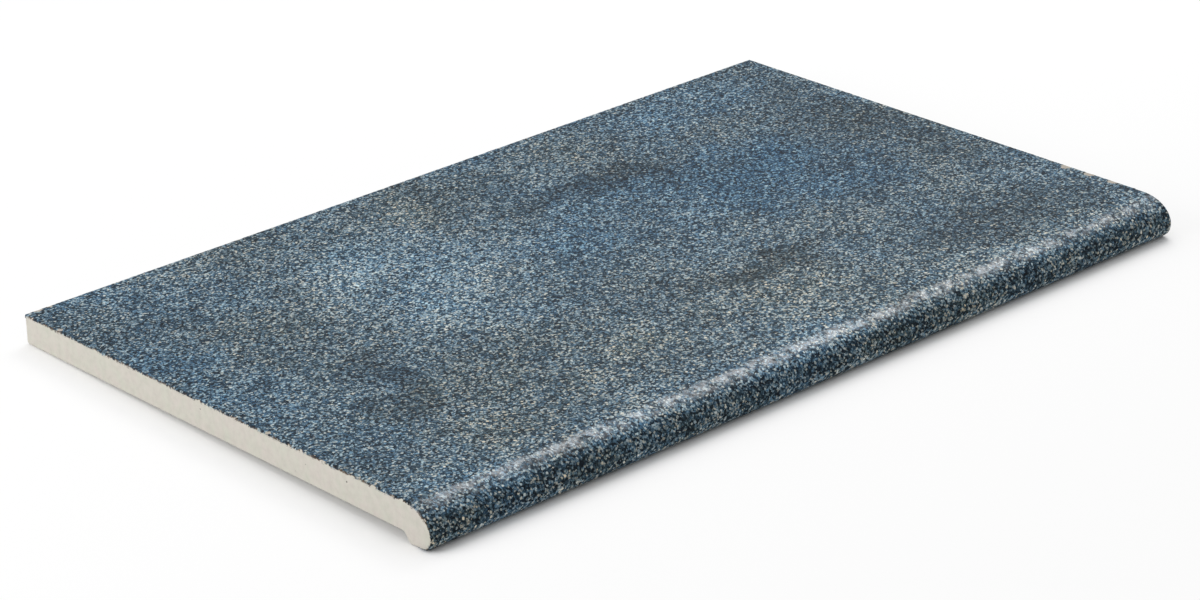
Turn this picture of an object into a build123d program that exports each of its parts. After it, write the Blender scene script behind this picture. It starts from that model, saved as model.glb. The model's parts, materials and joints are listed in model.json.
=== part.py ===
from build123d import *
import os
from math import asin, atan2, cos, hypot, sin, sqrt, tan

# Driving dimensions in millimetres
# Depth runs from the front of the nosing to the back edge, height from the lip's bottom up
tile_length = 500
tile_depth = 315
slab_thickness = 16
lip_drop = 5

# Nosing: a long quarter ellipse from the tread to the front, a tight one under it
shoulder_run = 19
shoulder_fall = 13
heel_run = 7
lip_flat_end = 16
lip_draft_run = 3.5
lip_root_radius = 2.5

# Edges worn round by pressing and firing
toe_radius = 1.5
back_bottom_radius = 1.8
back_top_radius = 1.5
end_radius = 1.2

# Keying on the bedding side: shallow drafted pockets inside a plain border
pocket_columns = 10
pocket_rows = 6
pocket_pitch = 45.5
pocket_side = 38
pocket_corner = 5
pocket_depth = 1.2
pocket_draft_deg = 35
border_behind_lip = 30

tile_height = slab_thickness + lip_drop
heel_rise = tile_height - shoulder_fall

# Rest tilt: the tile lies on the lip's toe and on its back bottom edge,
# so the floor is the common tangent under those two round edges
lip_slope = atan2(lip_drop, lip_draft_run)
toe_depth = lip_flat_end - toe_radius * tan(lip_slope / 2)
span = (tile_depth - back_bottom_radius) - toe_depth
rise = (lip_drop + back_bottom_radius) - toe_radius
tilt = atan2(rise, span) - asin((back_bottom_radius - toe_radius) / hypot(span, rise))

# Origin at the middle of the footprint: where the turned front and back reach
front_reach = (
    heel_run * cos(tilt)
    + heel_rise * sin(tilt)
    - sqrt((heel_run * cos(tilt)) ** 2 + (heel_rise * sin(tilt)) ** 2)
)
back_reach = (
    (tile_depth - back_top_radius) * cos(tilt)
    + (tile_height - back_top_radius) * sin(tilt)
    + back_top_radius
)
floor_reach = toe_radius * cos(tilt) - toe_depth * sin(tilt) - toe_radius
section_plane = Plane(
    origin=(0, -(front_reach + back_reach) / 2, -floor_reach),
    x_dir=(0, cos(tilt), -sin(tilt)),
    z_dir=(1, 0, 0),
)

# Bedding side: a plane that faces up into the slab, its origin at the middle of the keying
keying_depth = border_behind_lip + pocket_rows * pocket_pitch / 2
bedding_plane = Plane(
    origin=section_plane.from_local_coords((keying_depth, lip_drop)),
    x_dir=(1, 0, 0),
    z_dir=(0, sin(tilt), cos(tilt)),
)

with BuildPart() as tread_tile:
    # Section across the nosing, drawn clockwise from the start of the shoulder
    with BuildSketch(section_plane) as section:
        with BuildLine():
            EllipticalCenterArc(
                (shoulder_run, heel_rise), shoulder_run, shoulder_fall, start_angle=90, arc_size=90
            )
            EllipticalCenterArc(
                (heel_run, heel_rise), heel_run, heel_rise, start_angle=180, arc_size=90
            )
            Polyline(
                (heel_run, 0),
                (lip_flat_end, 0),
                (lip_flat_end + lip_draft_run, lip_drop),
                (tile_depth, lip_drop),
                (tile_depth, tile_height),
                (shoulder_run, tile_height),
            )
        make_face()
        corner_radii = (
            ((lip_flat_end, 0), toe_radius),
            ((lip_flat_end + lip_draft_run, lip_drop), lip_root_radius),
            ((tile_depth, lip_drop), back_bottom_radius),
            ((tile_depth, tile_height), back_top_radius),
        )
        for corner, radius in corner_radii:
            fillet(section.vertices().sort_by_distance(corner)[0], radius)
    extrude(amount=tile_length / 2, both=True)

    # Ends: the outline's arris, all round both end faces
    end_faces = tread_tile.faces().filter_by(Axis.X).sort_by(Axis.X)
    fillet([edge for face in (end_faces[0], end_faces[-1]) for edge in face.edges()], end_radius)

    # Keying pockets, cut up into the bedding side with drafted walls
    with BuildSketch(bedding_plane):
        with GridLocations(pocket_pitch, pocket_pitch, pocket_columns, pocket_rows):
            RectangleRounded(pocket_side, pocket_side, pocket_corner)
    extrude(amount=pocket_depth, taper=pocket_draft_deg, mode=Mode.SUBTRACT)

tread_tile.part.label = "tread_tile"
os.makedirs("parts", exist_ok=True)
export_step(tread_tile.part, "parts/tread_tile.step")
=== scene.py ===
import json
from math import cos, pi, radians, sin

import bmesh
import bpy
from bpy.props import FloatProperty, FloatVectorProperty
from mathutils import Matrix, Vector


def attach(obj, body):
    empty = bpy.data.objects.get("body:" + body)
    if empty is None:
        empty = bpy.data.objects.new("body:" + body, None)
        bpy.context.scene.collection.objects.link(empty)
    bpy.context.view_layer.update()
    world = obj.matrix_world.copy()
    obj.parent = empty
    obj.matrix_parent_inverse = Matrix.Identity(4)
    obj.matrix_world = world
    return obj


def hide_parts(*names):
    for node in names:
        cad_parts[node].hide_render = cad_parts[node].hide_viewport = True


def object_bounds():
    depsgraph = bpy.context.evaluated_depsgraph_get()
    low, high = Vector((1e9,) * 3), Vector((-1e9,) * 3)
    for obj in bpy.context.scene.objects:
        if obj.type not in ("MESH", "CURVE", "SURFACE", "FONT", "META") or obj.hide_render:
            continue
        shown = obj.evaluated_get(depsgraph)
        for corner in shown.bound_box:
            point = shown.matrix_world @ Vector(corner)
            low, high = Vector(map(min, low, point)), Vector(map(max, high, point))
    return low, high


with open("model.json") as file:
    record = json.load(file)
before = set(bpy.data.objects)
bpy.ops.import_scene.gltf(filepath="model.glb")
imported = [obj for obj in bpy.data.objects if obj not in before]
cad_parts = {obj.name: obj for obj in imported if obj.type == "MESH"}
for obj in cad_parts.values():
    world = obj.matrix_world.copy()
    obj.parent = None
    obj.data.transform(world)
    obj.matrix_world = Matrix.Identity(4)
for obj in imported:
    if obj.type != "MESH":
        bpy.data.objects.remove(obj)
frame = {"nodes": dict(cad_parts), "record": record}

bl_info = {
    "name": "Stair Tread Tile",
    "version": (1, 0, 0),
    "blender": (4, 5, 0),
    "location": "View3D > Sidebar > Tread Tile",
    "description": "Dresses a fired stair tread tile: grit glaze, bare clay and a plain studio",
    "category": "Object",
}

CAD_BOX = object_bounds()
NODE = "tread_tile"
BODY = "root"

# Names on the glaze's mesh: where grit is pressed in, how thick the layer is, its hidden side
SKIN = "skin"
LAP = "lap"
INNER = "inner"
# How much of the glaze's hidden side stays when its mesh is thinned out
HIDDEN_SHARE = 0.06
# Two places this close count as one, in metres
TOUCH = 1e-5
# Clay this close under the tread's level lies under glaze, in metres
GLAZED_RIM = 0.002
# Steps of the mesh round the nosing's two curves, in under its lip and round an edge
SHOULDER_STEPS = 46
HEEL_STEPS = 20
UNDER_STEPS = 5
EDGE_STEPS = 4
# Faces that meet at less than this angle are shaded as one
CLAY_SMOOTH = radians(40)
GLAZE_SMOOTH = radians(60)

MM_IN_METRE = 1000.0

# Where the kiln left soft patches on the tread, in millimetres: place along the tile, depth
# behind the nosing's front, half length, half depth, then how much lighter and how much bluer
KILN_PATCHES = (
    (-80, 205, 72, 80, 0.70, 0.1),
    (-102, 240, 32, 30, 0.25, 0.1),
    (52, 238, 66, 14, -0.75, -0.2),
    (90, 220, 22, 24, -0.55, 0.0),
    (48, 92, 50, 14, -0.95, -0.5),
    (-164, 128, 14, 36, -0.90, 0.0),
    (-182, 98, 32, 20, -0.60, -0.5),
    (50, 190, 105, 58, 0.0, 0.9),
    (142, 172, 62, 60, -0.35, 1.2),
    (182, 285, 62, 32, 0.10, 0.9),
    (228, 210, 22, 80, -0.55, -0.2),
    (-228, 175, 22, 75, 0.10, 0.8),
    (-100, 82, 85, 45, 0.25, -0.8),
    (10, 55, 130, 34, 0.30, -0.5),
    (175, 50, 80, 30, -0.50, -0.3),
    (-190, 40, 60, 26, 0.25, -0.3),
    (-165, 215, 45, 32, -0.10, -0.8),
    (0, 288, 95, 30, -0.10, -0.5),
    # The last row is one long lighter strip along the whole tile, just behind the nosing's curve
    (0, 19, 420, 13, 0.40, 0.0),
)

# How far a patch or a chip covers a point: not at all at the first, fully at the second, as
# shares of its half length and half depth
PATCH_FADE = (1.25, 0.35)

# Chips knocked out of the glaze's edges, in millimetres: place along the tile, depth behind the
# nosing's front, half length, half depth
EDGE_CHIPS = (
    (248.2, 72, 3.4, 3.6),
    (248.6, 56, 2.8, 3.6),
    (248.6, 40, 3.0, 3.2),
    (-242, 313.8, 2.6, 1.4),
    (-235, 314.2, 2.2, 1.0),
    (-248, 286, 1.4, 1.6),
    (-249, 118, 1.2, 2.0),
)

# Features of each noise in a metre
PER_METRE = {
    "cloud warp": 32.0,
    "cloud light": 24.0,
    "cloud blue": 18.0,
    "pools": 170.0,
    "glaze tooth": 2600.0,
    "ragged edge": 650.0,
    "spalls": 210.0,
    "chip outline": 500.0,
    "clay clouds": 260.0,
    "clay blush": 150.0,
    "clay tooth": 1500.0,
    "pinholes": 140.0,
}
# Shifts that give a noise a pattern of its own, in metres
OWN_PATTERN = {"cloud blue": (7.0, 3.0, 1.0), "clay blush": (3.0, 1.0, 5.0), "spalls": (2.0, 9.0, 4.0)}
# How far the outlines of clouds and of chips wander, in metres
CLOUD_WANDER = 0.055
CHIP_WANDER = 0.0035

# Grit: how far a grain's outline wanders in grain widths, how many fine grains and how many
# larger chips lie in a grain's width, and the fine grains' share of the shade and of the height
GRAIN_WANDER = 0.8
FINE_DENSITY = 1.9
CHIP_DENSITY = 0.5
FINE_SHADE = 0.32
FINE_HEIGHT = 0.25

# The draw at which a grain takes each of the five shades
SHADE_STOPS = (0.21, 0.40, 0.56, 0.70, 0.87)
# Tint of a grain from the warmest to the bluest
HUE_TINTS = ((0.0, (1.30, 1.03, 0.76)), (0.5, (1.0, 1.0, 1.0)), (1.0, (0.66, 0.97, 1.22)))
# How far a cloud moves the draw, and what it makes of the tone at its darkest and its lightest
CLOUD_DRAW = 0.08
CLOUD_TONE = (0.68, 1.34)

# Painted reflections and shade below the shoulder, in bands along the nosing: how far up the nosing, then
# how light
NOSING_PAINTED_BANDS = (
    (0.26, 1.50),
    (0.43, 0.72),
    (0.57, 1.16),
    (0.69, 0.66),
    (0.78, 1.0),
    (0.88, 1.20),
    (1.0, 1.0),
)
# The height at which these painted bands end, and where the greyer glaze with painted shade starts and is
# greyest, in metres
PAINTED_BANDS_END = 0.020
GREY_AND_SHADE_FADE = (0.0165, 0.0120)
# How far the draw moves down there, as painted shade with fewer cream flecks, and how far the hue turns
# greyer
PAINTED_SHADE_DRAW = 0.02
GREY_HUE = 0.7
# Where the nosing's pools begin and are fullest, in metres in front of the shoulder's end, and
# where its sheen begins and is fullest, in metres below the tile's top
POOL_FADE = (0.002, 0.008)
SHEEN_FADE = (0.0045, 0.0020)
# Height of the fine tooth on the grit, and what is left of the height under a pool and on clay
TOOTH_HEIGHT = 0.2
POOL_HEIGHT = 0.35
BARE_HEIGHT = 0.3

# The glaze's edge, in metres: how far it is rubbed back, how far it spalls off, how soft the
# step to the clay is and how wide the burnt line beside it
RUBBED_BACK = (-0.0001, 0.00025)
SPALLED_BACK = 0.0014
EDGE_STEP = 0.00008
BURNT_LINE = 0.0006
# The glaze was wiped off only below these heights, in metres
WIPE_FADE = (0.0005, 0.0015)
# How much of the burnt colour the clay in a chip takes
CHIP_BROWNING = 0.35

# Tint of the clay from its greener to its redder places
CLAY_TINTS = ((0.0, (0.97, 1.0, 0.95)), (1.0, (1.02, 0.985, 0.98)))
# Depth of the clay's tooth in metres, and how many times deeper a pinhole is
CLAY_RELIEF = 0.00012
PINHOLE_DEPTH = 3.0

# Softboxes, all turned to one point: name, direction from it, distance and extent in metres
SOFTBOXES = (
    ("key_softbox", (0.61, 0.33, 0.72), 1.7, (1.0, 0.6)),
    ("left_softbox", (-0.88, 0.25, 0.37), 2.0, (1.2, 1.2)),
)
LAMP_TARGET = Vector((0.0, 0.0, 0.01))
# Room light at the horizon and straight above, as shares of the sky's strength
SKY_SHARES = (0.5, 1.25)
WHITE = (1.0, 1.0, 1.0, 1.0)
# Side of the floor in metres, and width of the camera's sensor in millimetres
FLOOR_SIZE = 30.0
SENSOR_WIDTH = 36.0
# The tile's shadow on the paper: how far it reaches, in metres, and how open the floor is where
# the light from behind starts and is full
SHADOW_REACH = 0.033
OPEN_FLOOR = (0.42, 0.97)

# The bench frame: the tile lies level, depth runs back from the front of the nosing along y
# and height up from the lip's bottom along z. The record's faces say how it lies on the floor.
MOUNTS = {mount["name"]: mount for mount in frame["record"]["mounts"]}
UP = Vector(MOUNTS["tread_face"]["axis"]).normalized()
BACK = Vector(MOUNTS["back_edge"]["axis"]).normalized()


def face_reach(mount, axis):
    """How far along an axis a mount's face lies."""
    return axis.dot(Vector(MOUNTS[mount]["pos_m"]))


SLAB_THICKNESS = face_reach("tread_face", UP) - face_reach("bedding_face", UP)
TILE_LENGTH = CAD_BOX[1].x - CAD_BOX[0].x


def size(name, description, default):
    """A length that the user may change, in metres."""
    return FloatProperty(
        name=name, description=description, default=default, min=0.0, precision=5, unit="LENGTH"
    )


def colour(name, description, default):
    """A linear colour that the user may change."""
    return FloatVectorProperty(
        name=name, description=description, default=default, size=3, min=0.0, max=1.0, subtype="COLOR"
    )


def share(name, description, default, highest=1.0):
    """A plain number that the user may change."""
    return FloatProperty(
        name=name, description=description, default=default, min=0.0, max=highest, subtype="FACTOR"
    )


def turn(name, description, degrees):
    """An angle that the user may change."""
    return FloatProperty(name=name, description=description, default=radians(degrees), subtype="ANGLE")


class TreadSizes(bpy.types.PropertyGroup):
    """The tile's own section, as it was pressed."""

    length: size("Length", "Along the nosing", TILE_LENGTH)
    depth: size("Depth", "From the front of the nosing to the back edge", 0.315)
    slab: size("Slab", "Thickness behind the nosing", SLAB_THICKNESS)
    lip_drop: size("Lip drop", "How far the lip hangs below the slab", 0.005)
    shoulder_run: size("Shoulder run", "Depth of the nosing's upper curve", 0.019)
    shoulder_fall: size("Shoulder fall", "Height of the nosing's upper curve", 0.013)
    heel_run: size("Heel run", "Depth of the nosing's lower curve", 0.007)
    arris: size("Arris", "Rounding of the ends and of the back edge", 0.0012)
    set_back: size("Clay set back", "How far the bare faces stand behind the glaze", 0.00003)


class GlazeFinish(bpy.types.PropertyGroup):
    """The grit glaze that covers the tread and the nosing."""

    bed: size("Bed", "Thickness of the glaze over the clay", 0.0005)
    layer: size("Layer", "Thickness of the glaze's own mesh", 0.0009)
    lap: size("Lap", "How far the glaze's mesh reaches down the ends and the back", 0.0017)
    relief: size("Relief", "Depth of the valleys between grains", 0.0002)
    grain: size("Grain", "Width of one grain of grit", 0.00112)
    tread_cell: size("Tread cell", "Mesh width on the tread", 0.0013)
    nosing_cell: size("Nosing cell", "Mesh width on the nosing", 0.00056)
    nosing_start: size("Nosing start", "Depth where the nosing's sheet begins", 0.025)
    under_run: size("Under run", "How far the glaze runs under the lip", 0.003)
    ink: colour("Ink", "Darkest grains", (0.005, 0.011, 0.019))
    slate: colour("Slate", "Dark grains", (0.026, 0.053, 0.078))
    denim: colour("Denim", "Middle grains", (0.068, 0.136, 0.204))
    mist: colour("Mist", "Pale grains", (0.188, 0.290, 0.360))
    cream: colour("Cream", "Palest flecks", (0.580, 0.610, 0.575))
    rust: colour("Rust", "Burnt line where the glaze thins out", (0.160, 0.105, 0.062))
    matt: share("Matt", "Roughness of the tread", 0.55)
    satin: share("Satin", "Roughness of the nosing", 0.28)


class ClayFinish(bpy.types.PropertyGroup):
    """The bare fired clay of the ends, the back edge and the bedding side."""

    body: colour("Body", "Fired clay", (0.606, 0.582, 0.532))
    stain: colour("Stain", "Darker clouds in the clay", (0.546, 0.523, 0.475))
    # Painted shade: the dark colour at the bottom of a pinhole
    pit_shade: colour("Pit", "Bottom of a pinhole", (0.130, 0.120, 0.105))
    roughness: share("Roughness", "Roughness of the fired clay", 0.86)


class StudioSettings(bpy.types.PropertyGroup):
    """Camera and lamps."""

    lens: FloatProperty(name="Lens", description="Focal length in millimetres", default=115.98)
    azimuth: turn("Azimuth", "Turn of the view from the length of the tile", 48.54)
    elevation: turn("Elevation", "Height of the view above the floor", 24.225)
    roll: turn("Roll", "Tilt of the horizon", -1.454)
    distance: size("Distance", "From the tile's middle to the camera", 1.9659)
    shift_right: FloatProperty(name="Shift right", description="Camera shift in metres", default=-0.0061)
    shift_up: FloatProperty(name="Shift up", description="Camera shift in metres", default=-0.0051)
    key_power: FloatProperty(name="Key", description="Power of the long softbox in watts", default=9.5)
    fill_power: FloatProperty(name="Fill", description="Power of the left softbox in watts", default=20.0)
    sky: share("Sky", "Strength of the room's own light", 0.61, highest=4.0)
    paper: colour("Paper", "Floor and backdrop", (0.97, 0.97, 0.97))
    bounce: colour("Bounce", "What the paper throws back at the tile", (0.72, 0.72, 0.72))
    glow: share("Glow", "How far the paper is lit from behind", 0.7)


def settings():
    """The scene's four groups of values."""
    scene = bpy.context.scene
    return scene.tread_sizes, scene.tread_glaze, scene.tread_clay, scene.tread_studio


class Nodes:
    """Adds and links the nodes of one tree."""

    def __init__(self, tree):
        self.tree = tree

    def add(self, kind, inputs=None, **options):
        """One node: its options are set, and its inputs take a socket or a plain value."""
        node = self.tree.nodes.new(kind)
        for option, value in options.items():
            setattr(node, option, value)
        for key, value in (inputs or {}).items():
            if isinstance(value, bpy.types.NodeSocket):
                self.tree.links.new(value, node.inputs[key])
            else:
                node.inputs[key].default_value = value
        return node

    def math(self, operation, first, second=0.0):
        """One sum of two values."""
        return self.add("ShaderNodeMath", {0: first, 1: second}, operation=operation).outputs[0]

    def vector(self, operation, first, second):
        """One sum of two vectors."""
        return self.add("ShaderNodeVectorMath", {0: first, 1: second}, operation=operation).outputs[0]

    def scaled(self, vector, factor):
        """A vector times a number."""
        node = self.add("ShaderNodeVectorMath", {0: vector, "Scale": factor}, operation="SCALE")
        return node.outputs[0]

    def spread(self, value, start, end, low=0.0, high=1.0, **options):
        """A straight ramp from low at start to high at end."""
        inputs = {"Value": value, "From Min": start, "From Max": end, "To Min": low, "To Max": high}
        return self.add("ShaderNodeMapRange", inputs, **options).outputs["Result"]

    def fade(self, value, start, end, low=0.0, high=1.0):
        """A smooth step from low at start to high at end."""
        return self.spread(value, start, end, low, high, interpolation_type="SMOOTHSTEP")

    def mixed(self, factor, first, second, blend="MIX"):
        """Two colours mixed."""
        node = self.add("ShaderNodeMix", {"Factor": factor}, data_type="RGBA", blend_type=blend)
        for socket, value in ((node.inputs[6], first), (node.inputs[7], second)):
            if isinstance(value, bpy.types.NodeSocket):
                self.tree.links.new(value, socket)
            else:
                socket.default_value = (*value, 1.0)
        return node.outputs[2]

    def ramp(self, value, stops):
        """A colour ramp with (place, colour) stops."""
        node = self.add("ShaderNodeValToRGB", {"Fac": value})
        elements = node.color_ramp.elements
        while len(elements) < len(stops):
            elements.new(0.5)
        for element, (place, tone) in zip(elements, stops):
            element.position = place
            element.color = (*tone, 1.0)
        return node.outputs["Color"]

    def noise(self, vector, scale, detail=2.0, roughness=0.5):
        """A noise texture."""
        inputs = {"Vector": vector, "Scale": scale, "Detail": detail, "Roughness": roughness}
        return self.add("ShaderNodeTexNoise", inputs)

    def warped(self, place, scale, reach, detail):
        """A place pushed about by noise, by up to half the reach along each axis."""
        push = self.noise(place, scale, detail=detail).outputs["Color"]
        push = self.vector("SUBTRACT", push, (0.5, 0.5, 0.5))
        return self.vector("ADD", place, self.scaled(push, reach))


def new_group(name, kind, inputs, outputs):
    """An empty node group with named sockets: its helper, what comes in and what goes out."""
    tree = bpy.data.node_groups.new(name, kind)
    for direction, sockets in (("INPUT", inputs), ("OUTPUT", outputs)):
        for label, socket_kind in sockets:
            tree.interface.new_socket(label, in_out=direction, socket_type=socket_kind)
    nodes = Nodes(tree)
    return nodes, nodes.add("NodeGroupInput").outputs, nodes.add("NodeGroupOutput").inputs


def new_material(name):
    """An empty material, its helper, and a point's place in the tile's own frame."""
    material = bpy.data.materials.new(name)
    material.use_nodes = True
    material.node_tree.nodes.clear()
    nodes = Nodes(material.node_tree)
    return material, nodes, nodes.add("ShaderNodeTexCoord").outputs["Object"]


def grit_group(kind):
    """Tightly packed grains: a random shade and hue for each, and its domed height.

    Built once for the materials and once for the meshes, with the same nodes,
    so that the relief of the mesh lies under the coloured grains.
    """
    name = "Grit " + ("relief" if kind == "GeometryNodeTree" else "grains")
    if name in bpy.data.node_groups:
        return bpy.data.node_groups[name]
    number = "NodeSocketFloat"
    nodes, given, result = new_group(
        name,
        kind,
        [("Vector", "NodeSocketVector"), ("Grain", number)],
        [("Shade", number), ("Hue", number), ("Height", number)],
    )
    per_metre = nodes.math("DIVIDE", 1.0, given["Grain"])
    wander = nodes.math("MULTIPLY", given["Grain"], GRAIN_WANDER)
    place = nodes.warped(given["Vector"], per_metre, wander, detail=1.0)

    def cells(density):
        """The distance to the middle of the nearest cell, and that cell's three draws."""
        scale = nodes.math("MULTIPLY", per_metre, density)
        cell = nodes.add("ShaderNodeTexVoronoi", {"Vector": place, "Scale": scale}).outputs
        return cell["Distance"], nodes.add("ShaderNodeSeparateXYZ", {0: cell["Color"]}).outputs

    to_coarse, coarse_draw = cells(1.0)
    to_fine, fine_draw = cells(FINE_DENSITY)
    coarse_part = nodes.math("MULTIPLY", coarse_draw[0], 1.0 - FINE_SHADE)
    fine_part = nodes.math("MULTIPLY", fine_draw[0], FINE_SHADE)
    drawn = nodes.math("ADD", coarse_part, fine_part)
    dome = nodes.fade(to_coarse, 0.75, 0.15)
    taller = nodes.math("MULTIPLY", dome, nodes.spread(coarse_draw[2], 0.0, 1.0, 0.45, 1.0))
    coarse_part = nodes.math("MULTIPLY", taller, 1.0 - FINE_HEIGHT)
    fine_part = nodes.math("MULTIPLY", nodes.fade(to_fine, 0.8, 0.1), FINE_HEIGHT)
    height = nodes.math("ADD", coarse_part, fine_part)

    # Here and there one larger chip lies over the grains
    to_chip, chip_draw = cells(CHIP_DENSITY)
    chosen = nodes.fade(chip_draw[0], 0.80, 0.82)
    chip = nodes.math("MULTIPLY", nodes.fade(to_chip, 0.40, 0.30), chosen)
    chip_dome = nodes.fade(to_chip, 0.45, 0.05, 0.4, 1.0)
    outputs = (
        ("Shade", drawn, nodes.spread(chip_draw[1], 0.0, 1.0, 0.2, 0.95)),
        ("Hue", coarse_draw[1], chip_draw[2]),
        ("Height", height, chip_dome),
    )
    for label, of_grains, of_chip in outputs:
        more = nodes.math("MULTIPLY", chip, nodes.math("SUBTRACT", of_chip, of_grains))
        nodes.tree.links.new(nodes.math("ADD", of_grains, more), result[label])
    return nodes.tree


def soft_patch(nodes, place, outline):
    """How far a cloud or a chip of this outline covers a point, from 0 to 1."""
    along, depth, half_length, half_depth = (value / MM_IN_METRE for value in outline)
    away = nodes.vector("SUBTRACT", place, (along, CAD_BOX[0].y + depth, 0.0))
    rounded = nodes.vector("MULTIPLY", away, (1.0 / half_length, 1.0 / half_depth, 0.0))
    reach = nodes.add("ShaderNodeVectorMath", {0: rounded}, operation="LENGTH").outputs["Value"]
    return nodes.fade(reach, *PATCH_FADE)


def cloud_group():
    """The kiln's soft clouds: how light and how blue the glaze came out, about -1 to 1."""
    name = "Kiln clouds"
    if name in bpy.data.node_groups:
        return bpy.data.node_groups[name]
    nodes, given, result = new_group(
        name,
        "ShaderNodeTree",
        [("Vector", "NodeSocketVector")],
        [("Light", "NodeSocketFloat"), ("Blue", "NodeSocketFloat")],
    )
    place = nodes.warped(given["Vector"], PER_METRE["cloud warp"], CLOUD_WANDER, detail=3.0)
    mottle = nodes.noise(place, PER_METRE["cloud light"], detail=4.0, roughness=0.6).outputs["Fac"]
    light = nodes.spread(mottle, 0.25, 0.75, -0.5, 0.5)
    tint_place = nodes.vector("ADD", place, OWN_PATTERN["cloud blue"])
    tint = nodes.noise(tint_place, PER_METRE["cloud blue"], detail=3.0).outputs["Fac"]
    blue = nodes.spread(tint, 0.25, 0.75, -0.6, 1.0)
    for *outline, lighter, bluer in KILN_PATCHES:
        cover = soft_patch(nodes, place, outline)
        light = nodes.math("ADD", light, nodes.math("MULTIPLY", cover, lighter))
        blue = nodes.math("ADD", blue, nodes.math("MULTIPLY", cover, bluer))
    nodes.tree.links.new(light, result["Light"])
    nodes.tree.links.new(blue, result["Blue"])
    return nodes.tree


def glaze_material():
    """Grit glaze: grains of five shades under kiln clouds, matt on the tread, satin on the nosing."""
    name = "grit_glaze"
    if name in bpy.data.materials:
        return bpy.data.materials[name]
    sizes, glaze, _, _ = settings()
    material, nodes, place = new_material(name)
    grit_inputs = {"Vector": place, "Grain": glaze.grain}
    grit = nodes.add("ShaderNodeGroup", grit_inputs, node_tree=grit_group("ShaderNodeTree")).outputs
    clouds = nodes.add("ShaderNodeGroup", {"Vector": place}, node_tree=cloud_group()).outputs
    light, blue = clouds["Light"], clouds["Blue"]

    # Under the shoulder the glaze is greyer, and darker as painted shade, and it takes bands of painted
    # reflection and shade that run along the nosing. Depth counts double in the level, so that the tread
    # lies above all of them.
    front, top = CAD_BOX[0].y, CAD_BOX[1].z
    _, depth, rise = nodes.add("ShaderNodeSeparateXYZ", {0: place}).outputs
    inward = nodes.math("MULTIPLY", nodes.math("SUBTRACT", depth, front), 2.0)
    level = nodes.math("MAXIMUM", rise, inward)
    # Where the glaze turns greyer and darker with painted shade, under the shoulder
    low = nodes.fade(level, *GREY_AND_SHADE_FADE)
    # Painted reflections and shade: lighter and darker bands along the nosing, by height
    painted_band_stops = [(stop, (tone, tone, tone)) for stop, tone in NOSING_PAINTED_BANDS]
    painted_bands = nodes.ramp(nodes.spread(level, 0.0, PAINTED_BANDS_END), painted_band_stops)

    # Colour: each grain draws its shade, and the clouds move the draw and the hue
    shade = nodes.math("ADD", grit["Shade"], nodes.math("MULTIPLY", light, CLOUD_DRAW))
    # Painted shade under the shoulder: the draw moves to darker grains
    shade = nodes.math("SUBTRACT", shade, nodes.math("MULTIPLY", low, PAINTED_SHADE_DRAW))
    shades = (glaze.ink, glaze.slate, glaze.denim, glaze.mist, glaze.cream)
    grains = nodes.ramp(shade, list(zip(SHADE_STOPS, shades)))
    own_hue = nodes.spread(grit["Hue"], 0.0, 1.0, -0.9, 0.9)
    blue = nodes.math("SUBTRACT", blue, nodes.math("MULTIPLY", low, GREY_HUE))
    hue = nodes.spread(nodes.math("ADD", blue, own_hue), -2.0, 2.0)
    coloured = nodes.mixed(1.0, grains, nodes.ramp(hue, HUE_TINTS), blend="MULTIPLY")
    # Painted shade: the valleys between the grains are darkened to half, and the kiln clouds make the glaze
    # lighter or darker
    painted_gap_shade = nodes.spread(grit["Height"], 0.0, 0.5, 0.5, 1.0)
    tone = nodes.math("MULTIPLY", painted_gap_shade, nodes.spread(light, -1.0, 1.0, *CLOUD_TONE))
    gap_shade_and_cloud_toned = nodes.add("ShaderNodeCombineXYZ", {0: tone, 1: tone, 2: tone}).outputs[0]
    base = nodes.mixed(1.0, coloured, gap_shade_and_cloud_toned, blend="MULTIPLY")
    base = nodes.mixed(1.0, base, painted_bands, blend="MULTIPLY")
    bare, burnt, chip_browning = worn_edge(nodes, place, sizes, glaze)
    clay = nodes.add("ShaderNodeGroup", {"Vector": place}, node_tree=clay_group()).outputs
    clay = nodes.mixed(chip_browning, clay["Color"], glaze.rust)
    base = nodes.mixed(bare, nodes.mixed(burnt, base, glaze.rust), clay)

    # Surface: sharp grit on the tread, and on the nosing pools of glaze that drown the grains
    on_nosing = nodes.fade(depth, *(front + sizes.shoulder_run - step for step in POOL_FADE))
    under_top = nodes.fade(rise, *(top - step for step in SHEEN_FADE))
    on_shoulder = nodes.math("MULTIPLY", on_nosing, under_top)
    pool = nodes.noise(place, PER_METRE["pools"], detail=3.0, roughness=0.6).outputs["Fac"]
    pool = nodes.fade(pool, 0.42, 0.58)
    pooled = nodes.math("MULTIPLY", pool, on_nosing)
    tooth = nodes.noise(place, PER_METRE["glaze tooth"], detail=1.0).outputs["Fac"]
    height = nodes.math("ADD", grit["Height"], nodes.math("MULTIPLY", tooth, TOOTH_HEIGHT))
    height = nodes.math("MULTIPLY", height, nodes.spread(pooled, 0.0, 1.0, 1.0, POOL_HEIGHT))
    height = nodes.math("MULTIPLY", height, nodes.spread(bare, 0.0, 1.0, 1.0, BARE_HEIGHT))
    bump = nodes.add("ShaderNodeBump", {"Height": height, "Strength": 0.6, "Distance": glaze.relief})
    gloss = nodes.math("MULTIPLY", on_shoulder, nodes.spread(pool, 0.0, 1.0, 0.15, 1.0))
    gloss = nodes.math("MULTIPLY", gloss, nodes.math("SUBTRACT", 1.0, bare))
    shader = nodes.add(
        "ShaderNodeBsdfPrincipled", {"Base Color": base, "Coat Weight": gloss, "Normal": bump.outputs[0]}
    )
    shader.inputs["Roughness"].default_value = glaze.matt
    shader.inputs["Coat Roughness"].default_value = glaze.satin
    shader.inputs["Coat IOR"].default_value = 1.6
    shader.inputs["Specular IOR Level"].default_value = 0.08
    nodes.add("ShaderNodeOutputMaterial", {"Surface": shader.outputs[0]})
    return material


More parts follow.
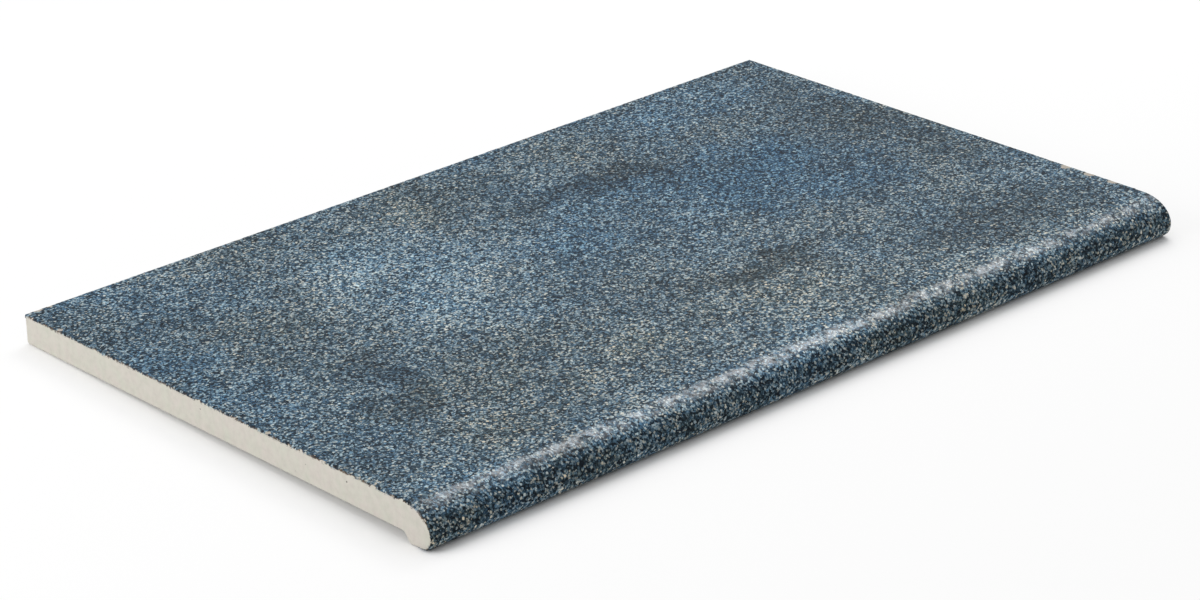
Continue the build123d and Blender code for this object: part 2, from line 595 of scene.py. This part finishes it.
def clay_group():
    """Bare fired clay: faint clouds, a fine tooth and a few pinholes."""
    name = "Fired clay"
    if name in bpy.data.node_groups:
        return bpy.data.node_groups[name]
    clay = settings()[2]
    nodes, given, result = new_group(
        name,
        "ShaderNodeTree",
        [("Vector", "NodeSocketVector")],
        [("Color", "NodeSocketColor"), ("Height", "NodeSocketFloat")],
    )
    place = given["Vector"]
    cloud = nodes.noise(place, PER_METRE["clay clouds"], detail=6.0, roughness=0.65).outputs["Fac"]
    base = nodes.mixed(nodes.fade(cloud, 0.35, 0.75), clay.body, clay.stain)
    blush_place = nodes.vector("ADD", place, OWN_PATTERN["clay blush"])
    blush = nodes.noise(blush_place, PER_METRE["clay blush"], detail=3.0).outputs["Fac"]
    tint = nodes.ramp(nodes.spread(blush, 0.3, 0.7), CLAY_TINTS)
    base = nodes.mixed(1.0, base, tint, blend="MULTIPLY")
    holes = nodes.add("ShaderNodeTexVoronoi", {"Vector": place, "Scale": PER_METRE["pinholes"]}).outputs
    draw = nodes.add("ShaderNodeSeparateXYZ", {0: holes["Color"]}).outputs[0]
    chosen = nodes.fade(draw, 0.86, 0.9)
    pinhole = nodes.math("MULTIPLY", nodes.fade(holes["Distance"], 0.09, 0.04), chosen)
    # Painted shade in the pinholes: their bottoms take the dark pit colour
    nodes.tree.links.new(nodes.mixed(pinhole, base, clay.pit_shade), result["Color"])
    tooth = nodes.noise(place, PER_METRE["clay tooth"], detail=4.0, roughness=0.6).outputs["Fac"]
    height = nodes.math("SUBTRACT", tooth, nodes.math("MULTIPLY", pinhole, PINHOLE_DEPTH))
    nodes.tree.links.new(height, result["Height"])
    return nodes.tree


def clay_material():
    """Bare fired clay, dead matt."""
    name = "fired_clay"
    if name in bpy.data.materials:
        return bpy.data.materials[name]
    clay = settings()[2]
    material, nodes, place = new_material(name)
    bare = nodes.add("ShaderNodeGroup", {"Vector": place}, node_tree=clay_group()).outputs
    bump_inputs = {"Height": bare["Height"], "Strength": 0.5, "Distance": CLAY_RELIEF}
    bump = nodes.add("ShaderNodeBump", bump_inputs)
    shader = nodes.add("ShaderNodeBsdfPrincipled", {"Base Color": bare["Color"], "Normal": bump.outputs[0]})
    shader.inputs["Roughness"].default_value = clay.roughness
    nodes.add("ShaderNodeOutputMaterial", {"Surface": shader.outputs[0]})
    return material


def worn_edge(nodes, place, sizes, glaze):
    """Where the glaze is rubbed or chipped off, the burnt line round that, and how far the chips' clay turns
    browner.
    """
    along, depth, rise = nodes.add("ShaderNodeSeparateXYZ", {0: place}).outputs
    from_end = nodes.math("SUBTRACT", sizes.length / 2, nodes.math("ABSOLUTE", along))
    behind = nodes.add("ShaderNodeVectorMath", {0: place, 1: BACK}, operation="DOT_PRODUCT").outputs["Value"]
    from_back = nodes.math("SUBTRACT", face_reach("back_edge", BACK) + sizes.arris / 2, behind)
    wiped_at = CAD_BOX[0].y + sizes.heel_run + glaze.under_run
    above = nodes.fade(rise, *WIPE_FADE)
    from_wipe = nodes.math("ADD", nodes.math("SUBTRACT", wiped_at, depth), above)
    away = nodes.math("MINIMUM", nodes.math("MINIMUM", from_end, from_back), from_wipe)
    ragged = nodes.noise(place, PER_METRE["ragged edge"], detail=3.0, roughness=0.55).outputs["Fac"]
    rubbed = nodes.spread(ragged, 0.3, 0.7, *RUBBED_BACK)
    spall_place = nodes.vector("ADD", place, OWN_PATTERN["spalls"])
    spalls = nodes.noise(spall_place, PER_METRE["spalls"], detail=2.0).outputs["Fac"]
    reach = nodes.math("ADD", rubbed, nodes.spread(spalls, 0.62, 0.76, 0.0, SPALLED_BACK))
    past = nodes.math("SUBTRACT", away, reach)
    worn = nodes.fade(past, EDGE_STEP, -EDGE_STEP)
    patchy = nodes.fade(spalls, 0.42, 0.6, 0.1, 0.8)
    burnt = nodes.math("MULTIPLY", nodes.fade(past, BURNT_LINE, 0.0), patchy)

    # Chips with a ragged outline, their clay a little darker and browner
    shifted = nodes.warped(place, PER_METRE["chip outline"], CHIP_WANDER, detail=2.0)
    chipped = 0.0
    for outline in EDGE_CHIPS:
        chipped = nodes.math("MAXIMUM", chipped, soft_patch(nodes, shifted, outline))
    chipped = nodes.fade(chipped, 0.35, 0.5)
    bare = nodes.math("MAXIMUM", worn, chipped)
    return bare, burnt, nodes.math("MULTIPLY", chipped, CHIP_BROWNING)


def make_active(piece):
    """Selects one piece alone and makes it the active one."""
    bpy.ops.object.select_all(action="DESELECT")
    piece.select_set(True)
    bpy.context.view_layer.objects.active = piece


def start_editing(piece):
    """Edit mode on one piece, with nothing selected in it."""
    make_active(piece)
    bpy.ops.object.mode_set(mode="EDIT")
    bpy.ops.mesh.select_mode(type="VERT")
    bpy.ops.mesh.select_all(action="DESELECT")


def pick(piece, wanted):
    """Selects, in edit mode, the vertices for which wanted(place) holds."""
    mesh = bmesh.from_edit_mesh(piece.data)
    for vertex in mesh.verts:
        vertex.select_set(wanted(vertex.co))
    mesh.select_flush_mode()
    bmesh.update_edit_mesh(piece.data)


def stop_editing():
    """Back to object mode."""
    bpy.ops.object.mode_set(mode="OBJECT")


def flat_sheet(name, length, front, back, height, cell):
    """A level sheet of square cells along the tile, between two depths."""
    bpy.ops.object.select_all(action="DESELECT")
    bpy.ops.mesh.primitive_grid_add(
        x_subdivisions=round(length / cell),
        y_subdivisions=round((back - front) / cell),
        size=1.0,
        location=(0.0, (front + back) / 2, height),
    )
    piece = bpy.context.object
    piece.name = name
    piece.scale = (length, back - front, 1.0)
    bpy.ops.object.transform_apply(location=True, rotation=True, scale=True)
    return piece


def widen(piece, wanted, step):
    """Adds one row of cells outside the edge where wanted(place) holds."""
    start_editing(piece)
    pick(piece, wanted)
    bpy.ops.mesh.extrude_region_move(TRANSFORM_OT_translate={"value": step})
    stop_editing()


def widen_ends(piece, half_length, arris):
    """Adds at both ends the row that is rounded over later."""
    for side in (-1.0, 1.0):
        widen(piece, lambda place: place.x * side > half_length - arris - TOUCH, (side * arris, 0.0, 0.0))


def give_thickness(piece, on_rim):
    """Closes the sheet to a layer, thick where on_rim(place) holds, and thins out its hidden side."""
    glaze = settings()[1]
    lap = piece.vertex_groups.new(name=LAP)
    for vertex in piece.data.vertices:
        lap.add([vertex.index], 1.0 if on_rim(vertex.co) else glaze.layer / glaze.lap, "REPLACE")
    piece.vertex_groups.new(name=INNER)
    modifier = piece.modifiers.new("layer", "SOLIDIFY")
    modifier.thickness = glaze.lap
    modifier.offset = -1.0
    modifier.use_even_offset = True
    modifier.vertex_group = LAP
    modifier.shell_vertex_group = INNER
    bpy.ops.object.modifier_apply(modifier=modifier.name)
    # The outer half of the mesh stays whole
    modifier = piece.modifiers.new("thinned", "DECIMATE")
    modifier.ratio = 0.5 * (1.0 + HIDDEN_SHARE)
    modifier.vertex_group = INNER
    bpy.ops.object.modifier_apply(modifier=modifier.name)


def round_the_rim(piece, half_length, depth, arris):
    """Rounds the layer over the end edges, the back edge and the corners between them."""
    inner = piece.vertex_groups[INNER].index
    start_editing(piece)
    bpy.ops.mesh.select_mode(type="EDGE")
    mesh = bmesh.from_edit_mesh(piece.data)
    weights = mesh.verts.layers.deform.active

    def on_rim(edge):
        outer = [vertex[weights].get(inner, 0.0) < 0.5 for vertex in edge.verts]
        at_end = all(abs(vertex.co.x) > half_length - TOUCH for vertex in edge.verts)
        at_back = all(vertex.co.y > depth - TOUCH for vertex in edge.verts)
        return (all(outer) and (at_end or at_back)) or (any(outer) and at_end and at_back)

    for edge in mesh.edges:
        edge.select_set(on_rim(edge))
    bmesh.update_edit_mesh(piece.data)
    bpy.ops.mesh.bevel(offset=arris - TOUCH, segments=EDGE_STEPS, affect="EDGES", clamp_overlap=True)
    stop_editing()


def press_grit(piece, keep_flat):
    """Sinks the valleys between the grains into the outer face of the layer."""
    glaze = settings()[1]
    skin = piece.data.attributes.new(SKIN, "FLOAT", "POINT")
    inner = piece.vertex_groups[INNER].index
    for vertex in piece.data.vertices:
        hidden = any(group.group == inner and group.weight > 0.5 for group in vertex.groups)
        skin.data[vertex.index].value = 0.0 if hidden or keep_flat(vertex.co) else 1.0

    geometry = [("Geometry", "NodeSocketGeometry")]
    nodes, given, result = new_group("Pressed grit", "GeometryNodeTree", geometry, geometry)
    place = nodes.add("GeometryNodeInputPosition").outputs[0]
    normal = nodes.add("GeometryNodeInputNormal").outputs[0]
    grit_inputs = {"Vector": place, "Grain": glaze.grain}
    grit = nodes.add("GeometryNodeGroup", grit_inputs, node_tree=grit_group("GeometryNodeTree")).outputs
    masked = nodes.add("GeometryNodeInputNamedAttribute", {"Name": SKIN}, data_type="FLOAT").outputs[0]
    sunk = nodes.math("MULTIPLY", nodes.math("SUBTRACT", grit["Height"], 1.0), glaze.relief)
    step = nodes.scaled(normal, nodes.math("MULTIPLY", sunk, masked))
    moved = nodes.add("GeometryNodeSetPosition", {"Geometry": given["Geometry"], "Offset": step})
    nodes.tree.links.new(moved.outputs[0], result["Geometry"])
    modifier = piece.modifiers.new("grit", "NODES")
    modifier.node_group = nodes.tree
    make_active(piece)
    bpy.ops.object.modifier_apply(modifier=modifier.name)
    bpy.data.node_groups.remove(nodes.tree)


def lay_on_floor(piece):
    """Tips a piece from the bench frame to where the tile lies on the floor, in its mesh."""
    sizes = settings()[0]
    height = sizes.slab + sizes.lip_drop
    front_reach = face_reach("back_edge", BACK) - sizes.depth
    bottom_reach = face_reach("tread_face", UP) - height
    turned = Matrix((Vector((1.0, 0.0, 0.0)), BACK, UP)).transposed().to_4x4()
    piece.matrix_world = Matrix.Translation(BACK * front_reach + UP * bottom_reach) @ turned
    make_active(piece)
    bpy.ops.object.transform_apply(location=True, rotation=True, scale=True)


def hand_over(piece, material):
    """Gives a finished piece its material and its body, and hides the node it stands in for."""
    piece.data.materials.clear()
    piece.data.materials.append(material)
    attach(piece, BODY)
    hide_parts(NODE)


class TREAD_OT_fired_clay(bpy.types.Operator):
    """The fired clay body under the glaze, with its keyed bedding side"""

    bl_idname = "tread_tile.fired_clay"
    bl_label = "Fired Clay Body"
    bl_options = {"REGISTER", "UNDO"}

    def execute(self, context):
        sizes, glaze, _, _ = settings()
        half = sizes.length / 2
        height = sizes.slab + sizes.lip_drop
        make_active(frame["nodes"][NODE])
        bpy.ops.object.duplicate()
        body = context.object
        body.name = "fired_clay_body"
        body.parent = None
        start_editing(body)
        bpy.ops.mesh.select_all(action="SELECT")
        bpy.ops.mesh.remove_doubles(threshold=TOUCH / 10)

        def depth_of(place):
            return place.dot(BACK) - face_reach("back_edge", BACK) + sizes.depth

        def height_of(place):
            return place.dot(UP) - face_reach("tread_face", UP) + height

        def glazed(place):
            on_bare_face = abs(place.x) > half - TOUCH or depth_of(place) > sizes.depth - TOUCH
            on_tread = height_of(place) > height - GLAZED_RIM
            on_nosing = depth_of(place) < sizes.shoulder_run and height_of(place) > sizes.lip_drop
            on_heel = depth_of(place) < sizes.heel_run + TOUCH
            return not on_bare_face and (on_tread or on_nosing or on_heel)

        pick(body, glazed)
        bpy.ops.transform.shrink_fatten(value=-glaze.bed)
        for side in (-1.0, 1.0):
            pick(body, lambda place: place.x * side > half - TOUCH)
            bpy.ops.transform.translate(value=(-side * sizes.set_back, 0.0, 0.0))
        pick(body, lambda place: depth_of(place) > sizes.depth - TOUCH)
        bpy.ops.transform.translate(value=-BACK * sizes.set_back)
        stop_editing()
        bpy.ops.object.shade_smooth_by_angle(angle=CLAY_SMOOTH)
        modifier = body.modifiers.new("flat faces stay flat", "WEIGHTED_NORMAL")
        modifier.keep_sharp = True
        bpy.ops.object.modifier_apply(modifier=modifier.name)
        hand_over(body, clay_material())
        return {"FINISHED"}


class TREAD_OT_glaze_tread(bpy.types.Operator):
    """The glaze over the tread, from behind the nosing to the back edge"""

    bl_idname = "tread_tile.glaze_tread"
    bl_label = "Tread Glaze"
    bl_options = {"REGISTER", "UNDO"}

    def execute(self, context):
        sizes, glaze, _, _ = settings()
        half = sizes.length / 2
        height = sizes.slab + sizes.lip_drop
        arris = sizes.arris
        piece = flat_sheet(
            "glaze_tread",
            sizes.length - 2 * arris,
            glaze.nosing_start,
            sizes.depth - arris,
            height,
            glaze.tread_cell,
        )

        def on_rim(place):
            return abs(place.x) > half - TOUCH or place.y > sizes.depth - TOUCH

        widen(piece, lambda place: place.y > sizes.depth - arris - TOUCH, (0.0, arris, 0.0))
        widen_ends(piece, half, arris)
        give_thickness(piece, on_rim)
        round_the_rim(piece, half, sizes.depth, arris)
        press_grit(piece, lambda place: place.y < glaze.nosing_start + TOUCH)
        bpy.ops.object.shade_smooth_by_angle(angle=GLAZE_SMOOTH)
        lay_on_floor(piece)
        hand_over(piece, glaze_material())
        return {"FINISHED"}


class TREAD_OT_glaze_nosing(bpy.types.Operator):
    """The glaze that rolls over the nosing and in under its lip"""

    bl_idname = "tread_tile.glaze_nosing"
    bl_label = "Nosing Glaze"
    bl_options = {"REGISTER", "UNDO"}

    def execute(self, context):
        sizes, glaze, _, _ = settings()
        half = sizes.length / 2
        height = sizes.slab + sizes.lip_drop
        heel_rise = height - sizes.shoulder_fall
        piece = flat_sheet(
            "glaze_nosing",
            sizes.length - 2 * sizes.arris,
            sizes.shoulder_run,
            glaze.nosing_start,
            height,
            glaze.nosing_cell,
        )
        start_editing(piece)
        # Shoulder: a quarter turn of one radius, then flattened to the ellipse
        pick(piece, lambda place: place.y < sizes.shoulder_run + TOUCH)
        bpy.ops.mesh.spin(
            steps=SHOULDER_STEPS,
            angle=-pi / 2,
            center=(0.0, sizes.shoulder_run, height - sizes.shoulder_run),
            axis=(1.0, 0.0, 0.0),
        )
        pick(piece, lambda place: place.y < sizes.shoulder_run - TOUCH)
        flatten = (1.0, 1.0, sizes.shoulder_fall / sizes.shoulder_run)
        bpy.ops.transform.resize(value=flatten, center_override=(0.0, 0.0, height))
        # Heel: a tighter quarter turn down to the lip's bottom, stretched to its height
        pick(piece, lambda place: place.z < heel_rise + TOUCH)
        bpy.ops.mesh.spin(
            steps=HEEL_STEPS,
            angle=-pi / 2,
            center=(0.0, sizes.heel_run, heel_rise),
            axis=(1.0, 0.0, 0.0),
        )
        pick(piece, lambda place: place.z < heel_rise - TOUCH)
        stretch = (1.0, 1.0, heel_rise / sizes.heel_run)
        bpy.ops.transform.resize(value=stretch, center_override=(0.0, 0.0, heel_rise))
        # Underside of the lip, as far as the glaze was wiped back
        inward = (0.0, glaze.under_run / UNDER_STEPS, 0.0)
        for _ in range(UNDER_STEPS):
            pick(piece, is_last_row(piece))
            bpy.ops.mesh.extrude_region_move(TRANSFORM_OT_translate={"value": inward})
        bpy.ops.mesh.select_all(action="SELECT")
        bpy.ops.mesh.remove_doubles(threshold=TOUCH)
        bpy.ops.mesh.normals_make_consistent(inside=False)
        stop_editing()
        widen_ends(piece, half, sizes.arris)
        give_thickness(piece, lambda place: abs(place.x) > half - TOUCH)
        round_the_rim(piece, half, sizes.depth, sizes.arris)
        press_grit(piece, lambda place: place.y > glaze.nosing_start - TOUCH)
        bpy.ops.object.shade_smooth_by_angle(angle=GLAZE_SMOOTH)
        lay_on_floor(piece)
        hand_over(piece, glaze_material())
        return {"FINISHED"}


def is_last_row(piece):
    """A test for the row of the sheet that lies deepest under the lip."""
    mesh = bmesh.from_edit_mesh(piece.data)
    deepest = max(vertex.co.y for vertex in mesh.verts if vertex.co.z < TOUCH)
    return lambda place: place.z < TOUCH and place.y > deepest - TOUCH


class TREAD_OT_studio(bpy.types.Operator):
    """Floor, soft lamps and camera"""

    bl_idname = "tread_tile.studio"
    bl_label = "Studio"
    bl_options = {"REGISTER", "UNDO"}

    def execute(self, context):
        studio = settings()[3]
        scene = context.scene
        scene.view_settings.view_transform = "Standard"
        bpy.ops.object.select_all(action="DESELECT")
        bpy.ops.mesh.primitive_plane_add(size=FLOOR_SIZE, location=(0.0, 0.0, 0.0))
        floor = context.object
        floor.name = "floor"
        floor.data.materials.append(paper_material(studio))
        self.make_world(scene, studio)
        for softbox, power in zip(SOFTBOXES, (studio.key_power, studio.fill_power)):
            self.make_lamp(*softbox, power)
        self.make_camera(scene, studio)
        return {"FINISHED"}

    @staticmethod
    def make_world(scene, studio):
        """Even room light, seen by the camera and in reflections as white paper."""
        world = bpy.data.worlds.new("room")
        scene.world = world
        world.use_nodes = True
        world.node_tree.nodes.clear()
        nodes = Nodes(world.node_tree)
        place = nodes.add("ShaderNodeTexCoord").outputs["Generated"]
        upward = nodes.add("ShaderNodeSeparateXYZ", {0: place}).outputs[2]
        horizon, above = (part * studio.sky for part in SKY_SHARES)
        strength = nodes.spread(upward, 0.0, 1.0, horizon, above)
        light = nodes.add("ShaderNodeBackground", {"Color": WHITE, "Strength": strength})
        seen = nodes.add("ShaderNodeBackground", {"Color": WHITE, "Strength": 1.0})
        path = nodes.add("ShaderNodeLightPath").outputs
        mirrored = nodes.math("MAXIMUM", path["Is Glossy Ray"], path["Is Transmission Ray"])
        looked_at = nodes.math("MAXIMUM", path["Is Camera Ray"], mirrored)
        mix = nodes.add("ShaderNodeMixShader", {0: looked_at, 1: light.outputs[0], 2: seen.outputs[0]})
        nodes.add("ShaderNodeOutputWorld", {"Surface": mix.outputs[0]})

    @staticmethod
    def make_lamp(name, direction, distance, extent, power):
        """A rectangular softbox that faces the tile."""
        direction = Vector(direction).normalized()
        bpy.ops.object.light_add(type="AREA", location=LAMP_TARGET + direction * distance)
        lamp = bpy.context.object
        lamp.name = name
        lamp.rotation_mode = "QUATERNION"
        lamp.rotation_quaternion = direction.to_track_quat("Z", "Y")
        lamp.data.shape = "RECTANGLE"
        lamp.data.size, lamp.data.size_y = extent
        lamp.data.energy = power

    @staticmethod
    def make_camera(scene, studio):
        """The camera on the photograph's line of sight."""
        flat = Vector((-cos(studio.azimuth), -sin(studio.azimuth), 0.0)) * cos(studio.elevation)
        to_camera = flat + Vector((0.0, 0.0, sin(studio.elevation)))
        level_right = (-to_camera).cross(Vector((0.0, 0.0, 1.0))).normalized()
        level_up = level_right.cross(-to_camera)
        right = level_right * cos(studio.roll) + level_up * sin(studio.roll)
        upward = level_up * cos(studio.roll) - level_right * sin(studio.roll)
        place = to_camera * studio.distance + level_right * studio.shift_right + level_up * studio.shift_up
        data = bpy.data.cameras.new("camera")
        data.lens = studio.lens
        data.sensor_width = SENSOR_WIDTH
        camera = bpy.data.objects.new("camera", data)
        scene.collection.objects.link(camera)
        axes = Matrix((right, upward, to_camera)).transposed().to_4x4()
        camera.matrix_world = Matrix.Translation(place) @ axes
        scene.camera = camera


def paper_material(studio):
    """White paper, lit from behind as well, so that only the shadow close to the tile is dark."""
    material = bpy.data.materials.new("white_paper")
    material.use_nodes = True
    nodes = Nodes(material.node_tree)
    looked_at = nodes.add("ShaderNodeLightPath").outputs["Is Camera Ray"]
    paper = material.node_tree.nodes["Principled BSDF"]
    tone = nodes.mixed(looked_at, studio.bounce, studio.paper)
    nodes.tree.links.new(tone, paper.inputs["Base Color"])
    paper.inputs["Roughness"].default_value = 1.0
    paper.inputs["Specular IOR Level"].default_value = 0.0
    glow = nodes.add("ShaderNodeEmission", {"Strength": 1.0})
    nearby = nodes.add("ShaderNodeAmbientOcclusion", {"Distance": SHADOW_REACH}, samples=8)
    open_floor = nodes.fade(nearby.outputs["AO"], *OPEN_FLOOR, 0.0, studio.glow)
    seen = nodes.math("MULTIPLY", looked_at, open_floor)
    mix = nodes.add("ShaderNodeMixShader", {0: seen, 1: paper.outputs[0], 2: glow.outputs[0]})
    output = material.node_tree.nodes["Material Output"]
    nodes.tree.links.new(mix.outputs[0], output.inputs["Surface"])
    return material


class TREAD_PT_sidebar(bpy.types.Panel):
    """Sizes, finishes and steps of the tread tile"""

    bl_idname = "TREAD_PT_sidebar"
    bl_label = "Tread Tile"
    bl_space_type = "VIEW_3D"
    bl_region_type = "UI"
    bl_category = "Tread Tile"

    def draw(self, context):
        for group in settings():
            box = self.layout.box()
            for name in group.bl_rna.properties.keys():
                if name not in ("rna_type", "name"):
                    box.prop(group, name)
        for operator in OPERATORS:
            self.layout.operator(operator.bl_idname)


OPERATORS = (TREAD_OT_fired_clay, TREAD_OT_glaze_tread, TREAD_OT_glaze_nosing, TREAD_OT_studio)
GROUPS = {
    "tread_sizes": TreadSizes,
    "tread_glaze": GlazeFinish,
    "tread_clay": ClayFinish,
    "tread_studio": StudioSettings,
}


def register():
    for cls in (*GROUPS.values(), *OPERATORS, TREAD_PT_sidebar):
        bpy.utils.register_class(cls)
    for name, cls in GROUPS.items():
        setattr(bpy.types.Scene, name, bpy.props.PointerProperty(type=cls))


def unregister():
    for name in GROUPS:
        delattr(bpy.types.Scene, name)
    for cls in (TREAD_PT_sidebar, *reversed(OPERATORS), *reversed(GROUPS.values())):
        bpy.utils.unregister_class(cls)


def main():
    register()
    bpy.ops.tread_tile.fired_clay()
    bpy.ops.tread_tile.glaze_tread()
    bpy.ops.tread_tile.glaze_nosing()
    bpy.ops.tread_tile.studio()


if __name__ == "__main__":
    main()
